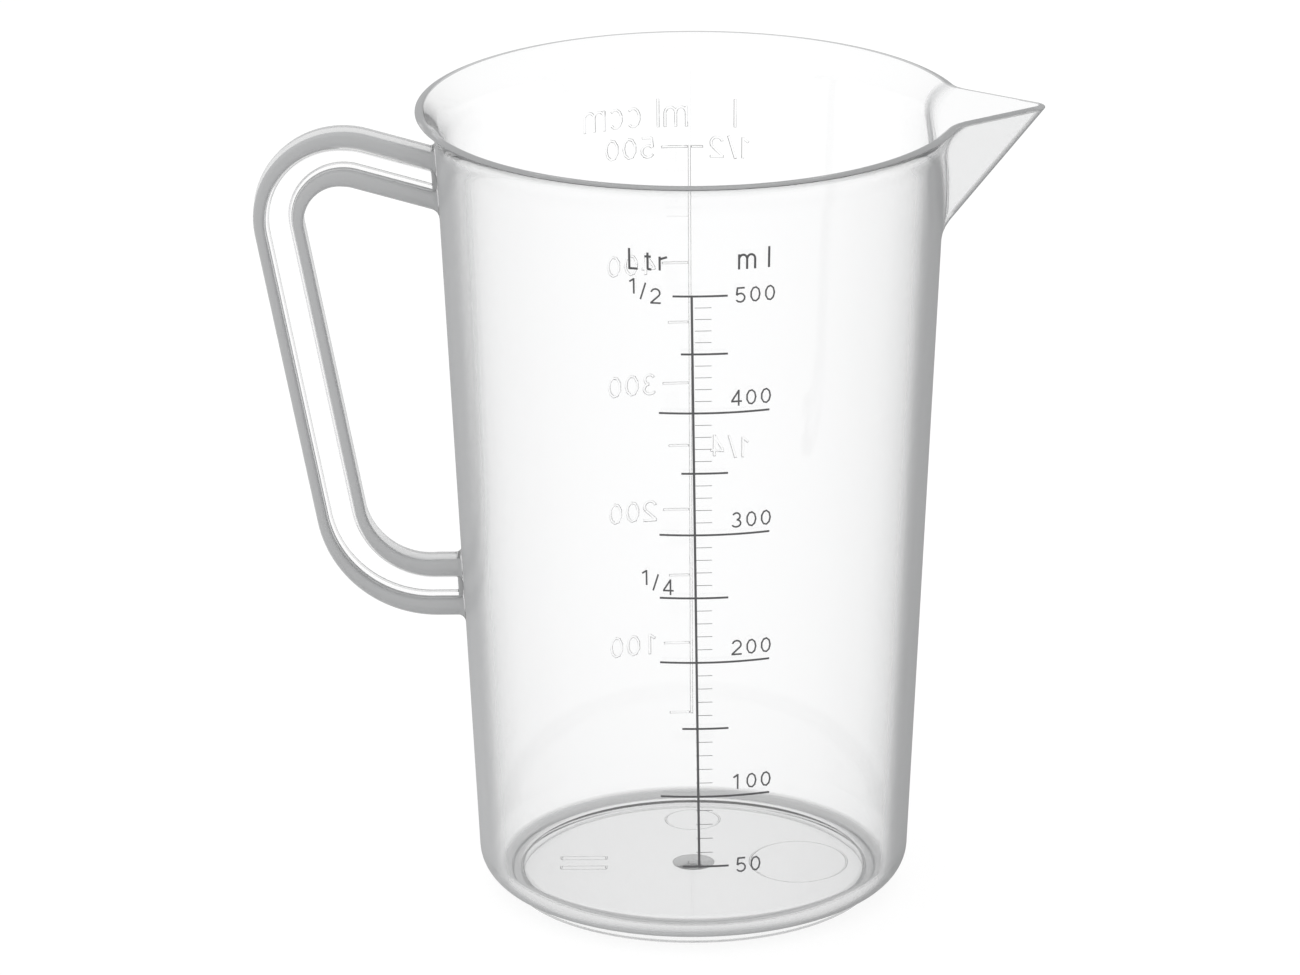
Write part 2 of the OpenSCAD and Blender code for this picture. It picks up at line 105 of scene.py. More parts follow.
class Graph:
    """A node tree whose nodes are linked as they are added."""

    def __init__(self, tree: bpy.types.NodeTree) -> None:
        """Empties the tree."""
        self.tree = tree
        tree.nodes.clear()

    def feed(self, node: bpy.types.Node, inputs: dict[str | int, Term]) -> None:
        """Sets or links the inputs of a node.

        Args:
            node: The node.
            inputs: For each input a plain value to set, a socket to link, or a
                node whose first output is linked.
        """
        for key, term in inputs.items():
            if isinstance(term, bpy.types.Node):
                term = term.outputs[0]
            if isinstance(term, Socket):
                self.tree.links.new(term, node.inputs[key])
            else:
                node.inputs[key].default_value = term

    def add(self, kind: str, inputs: dict[str | int, Term] | None = None) -> bpy.types.Node:
        """Adds a node.

        Args:
            kind: The node's type.
            inputs: What its inputs get.

        Returns:
            The new node.
        """
        node = self.tree.nodes.new(kind)
        self.feed(node, inputs or {})
        return node

    def math(self, operation: str, *terms: Term) -> Socket:
        """Adds a math node.

        Args:
            operation: The node's operation.
            terms: What its inputs get, in their order.

        Returns:
            The socket with the result.
        """
        node = self.add("ShaderNodeMath")
        node.operation = operation
        self.feed(node, dict(enumerate(terms)))
        return node.outputs[0]

    def painted(self, name: str) -> Socket:
        """Reads the value that a mesh keeps at its points under a name.

        Args:
            name: The attribute's name.

        Returns:
            The socket with the value.
        """
        node = self.add("ShaderNodeAttribute")
        node.attribute_name = name
        return node.outputs["Fac"]


def new_material(name: str) -> tuple[bpy.types.Material, Graph]:
    """Makes an empty node material.

    Args:
        name: The material's name.

    Returns:
        The material and its empty node tree.
    """
    material = bpy.data.materials.new(name)
    material.use_nodes = True
    return material, Graph(material.node_tree)


@dataclass(frozen=True)
class ClearPlastic:
    """Natural polypropylene, which looks milkier the more edge-on it is seen.

    The haze is a list of places: how edge-on the face is seen, and how much of
    it then looks milky.
    """

    name: str
    haze: tuple[Pair, ...] = ((0.0, 0.0), (1.0, 0.0))
    colour: Triple = (0.995, 0.996, 0.997)
    milk: Triple = (0.5, 0.505, 0.51)
    seen_within: bool = False
    roughness: float = 0.01
    roughness_spread: float = 0.02
    ior: float = 1.49
    flow_scale: float = 60.0
    flow_detail: float = 3.0
    flow_stretch: Triple = (1.0, 1.0, 0.25)
    flow_height: float = 0.00001

    def milk_share(self, graph: Graph) -> Socket:
        """How milky a face looks; from within it stays clear unless asked.

        Args:
            graph: The material's node tree.

        Returns:
            A socket from 0 to the most milk.
        """
        facing = graph.add("ShaderNodeLayerWeight").outputs["Facing"]
        curve = graph.add("ShaderNodeFloatCurve", {"Value": facing})
        points = curve.mapping.curves[0].points
        points[0].location, points[-1].location = self.haze[0], self.haze[-1]
        for edge_on, share in self.haze[1:-1]:
            points.new(edge_on, share)
        curve.mapping.update()
        if self.seen_within:
            return curve.outputs["Value"]
        # Painted light and shade: the painted attributes take milk off the flare and add milk in
        # painted bands.
        kept = graph.math("SUBTRACT", 1.0, graph.painted(PAINTED_FLARE_LIGHT))
        usual = graph.math("MULTIPLY", curve, kept)
        most = graph.math("MAXIMUM", usual, graph.painted(PAINTED_LIGHT_SHADE_AND_MILK))
        within = graph.add("ShaderNodeNewGeometry").outputs["Backfacing"]
        return graph.math("MULTIPLY", most, graph.math("SUBTRACT", 1.0, within))

    def material(self) -> bpy.types.Material:
        """Builds the node material.

        Returns:
            A Principled glass with noise in its gloss and a faint flow relief.
        """
        material, graph = new_material(self.name)
        place = graph.add("ShaderNodeTexCoord").outputs["Object"]
        drawn = graph.add("ShaderNodeMapping", {"Vector": place, "Scale": self.flow_stretch})
        flow = graph.add("ShaderNodeTexNoise", {
            "Vector": drawn, "Scale": self.flow_scale, "Detail": self.flow_detail,
        }).outputs["Fac"]
        gloss = graph.add("ShaderNodeMapRange", {
            "Value": flow, "To Min": self.roughness,
            "To Max": self.roughness + self.roughness_spread,
        })
        relief = graph.add("ShaderNodeBump", {"Height": flow, "Distance": self.flow_height})
        clear = graph.add("ShaderNodeBsdfPrincipled", {
            "Base Color": (*self.colour, 1), "IOR": self.ior, "Transmission Weight": 1.0,
            "Roughness": gloss, "Normal": relief,
        })
        lit = graph.add("ShaderNodeBsdfDiffuse", {"Color": (*self.milk, 1)})
        mixed = graph.add("ShaderNodeMixShader", {0: self.milk_share(graph), 1: clear, 2: lit})
        graph.add("ShaderNodeOutputMaterial", {"Surface": mixed})
        return material


@dataclass(frozen=True)
class PrintedInk:
    """Dark grey screen ink, matt, with slightly uneven cover."""

    name: str
    dark: Triple = (0.075, 0.075, 0.078)
    light: Triple = (0.14, 0.14, 0.145)
    roughness: float = 0.55
    roughness_half: float = 0.1
    grain_scale: float = 900.0

    def material(self) -> bpy.types.Material:
        """Builds the node material.

        Returns:
            A matt ink whose tone and gloss vary with a fine grain.
        """
        material, graph = new_material(self.name)
        place = graph.add("ShaderNodeTexCoord").outputs["Object"]
        grain = graph.add("ShaderNodeTexNoise", {
            "Vector": place, "Scale": self.grain_scale,
        }).outputs["Fac"]
        tone = graph.add("ShaderNodeMix")
        tone.data_type = "RGBA"
        graph.feed(tone, {"Factor": grain, "A": (*self.dark, 1), "B": (*self.light, 1)})
        gloss = graph.add("ShaderNodeMapRange", {
            "Value": grain, "To Min": self.roughness - self.roughness_half,
            "To Max": self.roughness + self.roughness_half,
        })
        shader = graph.add("ShaderNodeBsdfPrincipled", {
            "Base Color": tone.outputs["Result"], "Roughness": gloss,
        })
        graph.add("ShaderNodeOutputMaterial", {"Surface": shader})
        return material


def smooth_max(a: np.ndarray, b: np.ndarray, blend: float) -> np.ndarray:
    """The larger of two values, with a fillet where they differ by less than the blend."""
    share = np.clip(0.5 + 0.5 * (a - b) / blend, 0, 1)
    return b + (a - b) * share + blend * share * (1 - share)


def smooth_step(x: np.ndarray, start: float | np.ndarray, width: float) -> np.ndarray:
    """Rises smoothly from 0 at the start to 1 a width further on."""
    t = np.clip((x - start) / width, 0, 1)
    return t * t * (3 - 2 * t)


def arc(first: float, last: float, count: int) -> list[Pair]:
    """Cosines and sines of evenly spaced angles, from the first to the last."""
    return [(math.cos(a), math.sin(a)) for a in np.linspace(first, last, count)]


def new_object(name: str, data: bpy.types.Mesh | bpy.types.Camera) -> bpy.types.Object:
    """Adds an object to the scene, at the origin.

    Args:
        name: The object's name.
        data: Its mesh or camera.

    Returns:
        The new object.
    """
    item = bpy.data.objects.new(name, data)
    bpy.context.scene.collection.objects.link(item)
    return item


def make_object(name: str, points: np.ndarray, faces: list[tuple[int, ...]]) -> bpy.types.Object:
    """Makes a mesh object from points in millimetres.

    Args:
        name: Name of the object and its mesh.
        points: Array of points, one row each.
        faces: Point numbers round each face.

    Returns:
        The new object, with its faces turned outwards.
    """
    mesh = bpy.data.meshes.new(name)
    mesh.from_pydata((np.asarray(points, float) * MM).tolist(), [], faces)
    work = bmesh.new()
    work.from_mesh(mesh)
    bmesh.ops.remove_doubles(work, verts=work.verts, dist=WELD / 10)
    if work.calc_volume(signed=True) < 0:
        bmesh.ops.reverse_faces(work, faces=work.faces)
    work.to_mesh(mesh)
    work.free()
    return new_object(name, mesh)


def loft(rings: np.ndarray, closed_ends: bool = True) -> list[tuple[int, ...]]:
    """Lists the faces that join rings of equally many points.

    Args:
        rings: Array of rings, points and coordinates.
        closed_ends: Whether the first and last rings are capped.

    Returns:
        Quads between the rings, and a cap at each end if asked.
    """
    count, size = rings.shape[:2]
    last = (count - 1) * size
    faces: list[tuple[int, ...]] = []
    for low in range(0, last, size):
        for i in range(size):
            j = (i + 1) % size
            faces.append((low + i, low + j, low + size + j, low + size + i))
    if closed_ends:
        faces.append(tuple(reversed(range(size))))
        faces.append(tuple(range(last, last + size)))
    return faces


@dataclass
class JugShell:
    """The turned body with its foot, rolled rim and pouring spout.

    The angles and turns set how close together the columns are, and the rows how
    many levels each part of the profile has.
    """

    height: float = 136.1
    base_radius: float = 35.8
    draft: float = math.radians(2.82)
    wall: float = 1.4
    floor: float = 1.4
    corner: float = 5.2
    fillet: float = 4.4
    foot_radius: float = 30.9
    foot_width: float = 1.8
    foot_height: float = 1.6
    foot_edge: float = 0.35
    rim_out: float = 3.1
    rim_width: float = 1.3
    rim_drop: float = 0.4
    flare_turn: float = math.radians(58)
    lip_edge: float = 0.25
    lip_most: float = 0.45
    lip_look: float = 0.2
    spout_reach: float = 58.8
    spout_half: float = math.radians(34.9)
    spout_near: float = math.radians(80)
    spout_far: float = math.radians(120)
    spout_tip: float = 2.6
    spout_wall: float = 1.4
    keel: float = math.radians(51)
    spout_drop: float = 24.0
    root_blend: float = 1.5
    root_blend_inside: float = 1.9
    fine_angle: float = 9.0
    wide_angle: float = 30.0
    fine_turn: float = 0.5
    middle_turn: float = 0.75
    wide_columns: int = 91
    disc_start: float = 0.15
    disc_rows: int = 7
    foot_rows: int = 5
    corner_rows: int = 12
    wall_rows: int = 27
    spout_rows: int = 18
    flare_rows: int = 15
    lip_rows: int = 6
    fillet_rows: int = 14
    floor_steps: tuple[float, ...] = (0.7, 1.4, 2.2)

    def __post_init__(self) -> None:
        """Works out the places that follow from the sizes."""
        self.slope = math.tan(self.draft)
        self.wall_run = self.wall / math.cos(self.draft)
        self.floor_top = self.foot_height + self.floor
        self.rim_low = self.height - self.rim_drop
        edge = self.radius(self.rim_low) + self.rim_out
        inner_line = self.radius(self.height) - self.wall_run
        self.flare_out = self.flare(edge, self.rim_low, self.rim_out)
        self.flare_in = self.flare(
            edge - self.rim_width, self.height, edge - self.rim_width - inner_line
        )
        self.neck = self.flare_out[1] + self.flare_out[2] * math.sin(self.draft)

    def flare(self, r: float, z: float, out: float) -> Triple:
        """Finds the arc that leaves a wall's line smoothly and ends at a point.

        Args:
            r: Distance of the arc's end from the axis.
            z: Height of the arc's end.
            out: How far the end stands out from the wall's line.

        Returns:
            The centre's distance from the axis and height, and the arc's radius.
        """
        sine = math.sin(self.flare_turn)
        cosine = math.cos(self.flare_turn)
        gained = math.cos(self.draft) - cosine - self.slope * (sine - math.sin(self.draft))
        bend = out / gained
        return r + bend * cosine, z - bend * sine, bend

    def radius(self, z: float) -> float:
        """Outer radius of the wall's straight cone at a height."""
        return self.base_radius + z * self.slope

    def spout_radius(self, angle: np.ndarray, z: np.ndarray, tip: float) -> np.ndarray:
        """Distance from the axis to the spout's V-shaped wall.

        Args:
            angle: Angle from the spout's middle plane.
            z: Height.
            tip: Radius of the V's rounded point.

        Returns:
            The distance, or a large negative one where the V isn't met.
        """
        centre = self.spout_reach - self.spout_tip - (self.height - z) / math.tan(self.keel)
        turn = np.abs(angle)
        slant = np.sin(np.minimum(turn + self.spout_half, self.spout_far))
        sine = math.sin(self.spout_half)
        side = (tip + centre * sine) / slant
        root = np.maximum(tip**2 - (centre * np.sin(turn)) ** 2, 0)
        point = centre * np.cos(turn) + np.sqrt(root)
        split = np.arctan2(tip * math.cos(self.spout_half), centre + tip * sine)
        reach = np.where(turn < split, point, side)
        return np.where((centre > 0) & (turn < self.spout_near), reach, NOWHERE)

    def skin(
        self, angle: np.ndarray, z: np.ndarray, curve: Triple, walls: Pair, blend: float
    ) -> np.ndarray:
        """Distance from the axis to the outer or inner skin.

        Args:
            angle: Angle from the spout's middle plane.
            z: Height.
            curve: The flare's centre and radius.
            walls: How far within the outer skin it lies, on the body and the spout.
            blend: Size of the fillet at the spout's root.

        Returns:
            The distance for each angle and height.
        """
        centre_r, centre_z, bend = curve
        flare = centre_r - np.sqrt(np.maximum(bend**2 - (z - centre_z) ** 2, 0))
        start = centre_z + bend * math.sin(self.draft)
        round_wall = np.where(z > start, flare, self.radius(z) - walls[0])
        return smooth_max(round_wall, self.spout_radius(angle, z, self.spout_tip - walls[1]), blend)

    def outside(self, angle: np.ndarray, z: np.ndarray) -> np.ndarray:
        """Distance from the axis to the outer skin, by angle and height."""
        return self.skin(angle, z, self.flare_out, (0.0, 0.0), self.root_blend)

    def inside(self, angle: np.ndarray, z: np.ndarray) -> np.ndarray:
        """Distance from the axis to the inner skin, by angle and height."""
        walls = (self.wall_run, self.spout_wall)
        return self.skin(angle, z, self.flare_in, walls, self.root_blend_inside)

    def angles(self) -> np.ndarray:
        """Angles of the columns, closest together at the spout's tip.

        Returns:
            The angles once round, from the handle's side.
        """
        fine = np.arange(0, self.fine_angle, self.fine_turn)
        middle = np.arange(self.fine_angle, self.wide_angle, self.middle_turn)
        wide = np.linspace(self.wide_angle, 180, self.wide_columns)
        half = np.radians(np.concatenate([fine, middle, wide]))
        return np.concatenate([-half[::-1][:-1], half[:-1]])

    def foot_profile(self) -> list[Pair]:
        """Profile from under the floor's middle round the foot to the base corner.

        Returns:
            The distance from the axis and the height of each place.
        """
        edge, outer, up = self.foot_edge, self.foot_radius, self.foot_height
        inner = outer - self.foot_width
        few, quarter = self.foot_rows, math.pi / 2
        disc = np.linspace(self.disc_start, 1, self.disc_rows) * (inner - edge)
        places = [(r, up) for r in disc]
        for c, s in arc(0, quarter, few - 1)[1:]:
            places.append((inner - edge + edge * s, up - edge * (1 - c)))
        for c, s in arc(0, quarter, few):
            places.append((inner + edge * (1 - c), edge - edge * s))
        for c, s in arc(quarter, 0, few):
            places.append((outer - edge * (1 - c), edge - edge * s))
        for c, s in arc(0, quarter, few - 1)[:-1]:
            places.append((outer + edge * (1 - c), up - edge * (1 - s)))
        z = up + self.corner
        r = self.radius(z) - self.corner / math.cos(self.draft)
        for c, s in arc(-quarter, -self.draft, self.corner_rows):
            places.append((r + self.corner * c, z + self.corner * s))
        return places

    def floor_profile(self) -> list[Pair]:
        """Profile from the inner fillet to the floor's middle.

        Returns:
            The distance from the axis and the height of each place.
        """
        z = self.floor_top + self.fillet
        r = self.radius(z) - self.wall_run - self.fillet / math.cos(self.draft)
        bends = arc(-self.draft, -math.pi / 2, self.fillet_rows)
        places = [(r + self.fillet * c, z + self.fillet * s) for c, s in bends]
        places += [(r - step, self.floor_top) for step in self.floor_steps]
        disc = np.linspace(1, self.disc_start, self.disc_rows)[1:] * r
        return places + [(r, self.floor_top) for r in disc]

    def rows(self) -> list[np.ndarray]:
        """Rows of the skin, from under the floor's middle over the lip to its top.

        Returns:
            One array of radius and height by column for each row.
        """
        angle = self.angles()
        one = np.ones_like(angle)
        foot, floor = self.foot_profile(), self.floor_profile()
        rows = [np.stack([r * one, z * one], -1) for r, z in foot]

        def row(side: Callable[[np.ndarray, np.ndarray], np.ndarray], z: np.ndarray) -> None:
            """Adds a row of the outer or inner skin at some heights."""
            rows.append(np.stack([side(angle, z), z], -1))

        def flare_height(curve: Triple, share: float) -> float:
            """Height on a flare's arc at a share of its turn."""
            turn = self.draft + (self.flare_turn - self.draft) * share
            return curve[1] + curve[2] * math.sin(turn)

        spout_foot = self.height - self.spout_drop
        low = self.foot_height + self.corner - self.corner * math.sin(self.draft)
        heights = list(np.linspace(low, spout_foot, self.wall_rows)[1:])
        heights += list(np.linspace(spout_foot, self.neck, self.spout_rows)[1:])
        for z in heights:
            row(self.outside, z * one)

        top_in = np.stack([self.inside(angle, self.height * one), self.height * one], -1)
        top_z = self.rim_low * one
        below_z = top_z - self.lip_look
        top_out = np.stack([self.outside(angle, top_z), top_z], -1)
        along = top_out - np.stack([self.outside(angle, below_z), below_z], -1)
        along /= np.linalg.norm(along, axis=1, keepdims=True)
        across = top_in - top_out
        thick = np.linalg.norm(across, axis=1, keepdims=True)
        across /= thick
        edge = np.minimum(self.lip_edge, self.lip_most * thick)
        for t in np.linspace(0, 1, self.flare_rows)[1:]:
            highest = top_z - edge[:, 0] * along[:, 1]
            row(self.outside, np.minimum(flare_height(self.flare_out, t), highest))
        there = arc(0, math.pi / 2, self.lip_rows)[1:]
        back = arc(math.pi / 2, 0, self.lip_rows)[:-1]
        for side, top, bends in ((-1, top_out, there), (1, top_in, back)):
            centre = top - side * across * edge - along * edge
            rows += [centre + side * across * edge * c + along * edge * s for c, s in bends]

        z_last = (top_in - along * edge)[:, 1]
        for t in np.linspace(1, 0, self.flare_rows)[:-1]:
            row(self.inside, np.minimum(flare_height(self.flare_in, t), z_last))
        low = self.floor_top + self.fillet - self.fillet * math.sin(self.draft)
        heights = [flare_height(self.flare_in, 0)]
        heights += list(np.linspace(self.neck, spout_foot, self.spout_rows)[1:])
        heights += list(np.linspace(spout_foot, low, self.wall_rows)[1:-1])
        for z in heights:
            row(self.inside, z * one)
        return rows + [np.stack([r * one, z * one], -1) for r, z in floor]

    def build(self) -> bpy.types.Object:
        """Makes the closed skin of the body.

        Returns:
            The shell's object.
        """
        angle = self.angles()
        rows = np.array(self.rows())
        r, z = rows[..., 0], rows[..., 1]
        points = np.stack([r * np.cos(angle), r * np.sin(angle), z], -1)
        count, size = points.shape[:2]
        faces = loft(points, closed_ends=False)
        flat_points = points.reshape(-1, 3)
        poles = np.array([[0, 0, self.foot_height], [0, 0, self.floor_top]])
        under, over = count * size, count * size + 1
        last = (count - 1) * size
        for i in range(size):
            j = (i + 1) % size
            faces.append((under, j, i))
            faces.append((over, last + i, last + j))
        return make_object("shell", np.concatenate([flat_points, poles]), faces)


@dataclass
class Handle:
    """The D-shaped handle with its two flanges and thin web."""

    shell: JugShell
    reach: float = 72.38
    crown_drop: float = 3.5
    low_arm: float = 47.9
    crown: float = 15.0
    bend: float = 20.3
    arm_rise: float = math.radians(16)
    grip_lean: float = math.radians(10.7)
    grip_depth: float = 8.3
    arm_depth: float = 9.5
    low_depth: float = 9.9
    width: float = 5.0
    flange: float = 1.8
    arm_flange: float = 3.0
    flange_edge: float = 0.7
    web: float = 1.5
    web_fillet: float = 0.9
    root_fillet: float = 1.0
    sunk: float = 0.6
    root_gaps: tuple[float, ...] = (0.0, 0.08, 0.25, 0.5, 0.85)
    settling: int = 4
    steps: int = 28
    grip_steps: int = 12
    edge_steps: int = 6

    def arm_share(self, facing: float) -> float:
        """How far the section has changed from the grip's to an arm's.

        Args:
            facing: Angle that the outer edge faces.

        Returns:
            The share, from 0 on the grip to 1 on an arm.
        """
        grip = math.pi + self.grip_lean
        if facing < grip:
            return min((grip - facing) / (math.pi / 2 + self.grip_lean), 1)
        return (facing - grip) / (math.pi / 2 - self.grip_lean)

    def section(self, facing: float, grow: float) -> np.ndarray:
        """Outline of the I-section, by distance across and depth from the outer edge.

        Args:
            facing: Angle that the outer edge faces, which the depth follows.
            grow: How far the outline stands out, for the fillet at a root.

        Returns:
            Points round the outline.
        """
        share = self.arm_share(facing)
        arm_depth = self.arm_depth if facing < math.pi + self.grip_lean else self.low_depth
        depth = self.grip_depth + (arm_depth - self.grip_depth) * share
        half = self.width / 2 + grow
        edge = self.flange_edge
        web = self.web / 2 + grow
        fillet = self.web_fillet
        under = self.flange + (self.arm_flange - self.flange) * share + grow
        turn, few = math.pi / 2, self.edge_steps
        quarter: list[Pair] = []
        for c, s in arc(turn, 0, few):
            quarter.append((half - edge + edge * c, -grow + edge - edge * s))
        for c, s in arc(0, -turn, few):
            quarter.append((half - edge + edge * c, under - edge - edge * s))
        for c, s in arc(turn, math.pi, few):
            quarter.append((web + fillet + fillet * c, under + fillet - fillet * s))
        right = np.array(quarter)
        right_low = np.stack([right[::-1, 0], depth - right[::-1, 1]], -1)
        side = np.concatenate([right, right_low])
        other = np.stack([-side[::-1, 0], side[::-1, 1]], -1)
        return np.concatenate([side, other])

    def spine(self) -> list[tuple[np.ndarray, float]]:
        """Places along the outer edge between the two roots.

        Returns:
            For each, the place in the handle's plane and its facing angle.
        """
        height = self.shell.height - self.crown_drop
        crown_c = np.array([self.crown - self.reach, height - self.crown])
        c, s = math.cos(self.grip_lean), math.sin(self.grip_lean)
        end = crown_c - self.crown * np.array([c, s])
        bend_z = self.low_arm + self.bend
        run = (end[1] + self.bend * s - bend_z) / c
        bend_c = np.array([end[0] + run * s + self.bend * c, bend_z])
        places: list[tuple[np.ndarray, float]] = []
        first, last = math.pi / 2 - self.arm_rise, math.pi + self.grip_lean
        for a in np.linspace(first, last, self.steps):
            places.append((crown_c + self.crown * np.array([math.cos(a), math.sin(a)]), a))
        top = places[-1][0]
        foot = bend_c + self.bend * np.array([math.cos(last), math.sin(last)])
        for t in np.linspace(0, 1, self.grip_steps)[1:-1]:
            places.append((top + (foot - top) * t, last))
        for a in np.linspace(last, 3 * math.pi / 2, self.steps):
            places.append((bend_c + self.bend * np.array([math.cos(a), math.sin(a)]), a))
        return places

    @staticmethod
    def ring(place: np.ndarray, facing: float, outline: np.ndarray) -> np.ndarray:
        """Sets a section's outline square to the spine.

        Args:
            place: Point of the spine in the handle's plane.
            facing: Angle that the outer edge faces.
            outline: Points of the section.

        Returns:
            Points in space.
        """
        x = place[0] - outline[:, 1] * math.cos(facing)
        z = place[1] - outline[:, 1] * math.sin(facing)
        return np.stack([x, outline[:, 0], z], -1)

    def root_rings(
        self, place: np.ndarray, facing: float, along: np.ndarray
    ) -> list[np.ndarray]:
        """Rings from inside the wall outwards, which lie along the wall's face.

        Args:
            place: Where the spine's straight arm starts.
            facing: Angle that the arm's outer edge faces.
            along: Direction of the arm, away from the wall, in the handle's plane.

        Returns:
            The rings, the sunk one first.
        """
        rings = []
        fillet = self.root_fillet
        for gap in (-self.sunk, *self.root_gaps, fillet, 2 * fillet):
            inner = max(fillet - max(gap, 0), 0)
            grow = fillet - math.sqrt(fillet**2 - inner**2)
            points = self.ring(place, facing, self.section(facing, grow))
            for _ in range(self.settling):
                wall = self.shell.outside(np.arctan2(points[:, 1], points[:, 0]), points[:, 2])
                lack = wall + gap - np.hypot(points[:, 0], points[:, 1])
                points[:, 0] += lack * along[0] / abs(along[0])
                points[:, 2] += lack * along[1] / abs(along[0])
            rings.append(points)
        return rings

    def build(self) -> bpy.types.Object:
        """Sweeps the section along the spine, with a fillet at both roots.

        Returns:
            The handle's object, its ends sunk into the wall.
        """
        spine = self.spine()
        arm = np.array([-math.cos(self.arm_rise), math.sin(self.arm_rise)])
        upper = self.root_rings(*spine[0], arm)
        lower = self.root_rings(*spine[-1], np.array([-1.0, 0.0]))
        middle = [self.ring(place, a, self.section(a, 0)) for place, a in spine]
        rings = np.array(upper + middle + lower[::-1])
        return make_object("handle", rings.reshape(-1, 3), loft(rings))


@dataclass
class RaisedMark:
    """A raised mark of the wall, with steep sides, rooted in its face."""

    node: str
    shell: JugShell
    relief: float = 0.25
    shown: float = 0.13
    draft_in: float = 0.08
    rooted: float = 0.05
    steep: float = 0.4
    same: float = 0.999

    def side_step(self, point: bmesh.types.BMVert, away: Vector) -> Vector:
        """How far the tapered sides draw a point of the mark's top inwards.

        Args:
            point: The point.
            away: Direction away from the jug's axis.

        Returns:
            The step inwards, in millimetres, which is nothing off the edges.
        """
        sides: list[Vector] = []
        for face in point.link_faces:
            normal = face.normal
            if abs(normal.dot(away)) < self.steep and all(normal.dot(s) < self.same for s in sides):
                sides.append(normal.copy())
        if not sides:
            return Vector()
        inward = sum(sides, Vector())
        inward /= max(inward.dot(sides[0]), self.steep)
        return inward * self.draft_in

    def build(self) -> bpy.types.Object:
        """Copies the CAD mark, tapers its sides and roots it in the wall.

        Returns:
            The mark's object, ready to be joined to the shell.
        """
        work = bmesh.new()
        work.from_mesh(frame["nodes"][self.node].data)
        bmesh.ops.remove_doubles(work, verts=work.verts, dist=WELD)
        work.normal_update()
        moves: list[tuple[bmesh.types.BMVert, Vector]] = []
        for point in work.verts:
            x, y, z = point.co
            away = Vector((x, y, 0)).normalized()
            height = math.hypot(x, y) / MM - self.shell.radius(z / MM)
            if height < 0.5 * self.relief:
                step = away * -self.rooted * MM
            else:
                step = away * (self.shown - self.relief) * MM
                step -= self.side_step(point, away) * MM
            moves.append((point, step))
        for point, step in moves:
            point.co += step
        points = np.array([point.co for point in work.verts]) / MM
        faces = [tuple(point.index for point in face.verts) for face in work.faces]
        work.free()
        return make_object(self.node + "_raised", points, faces)


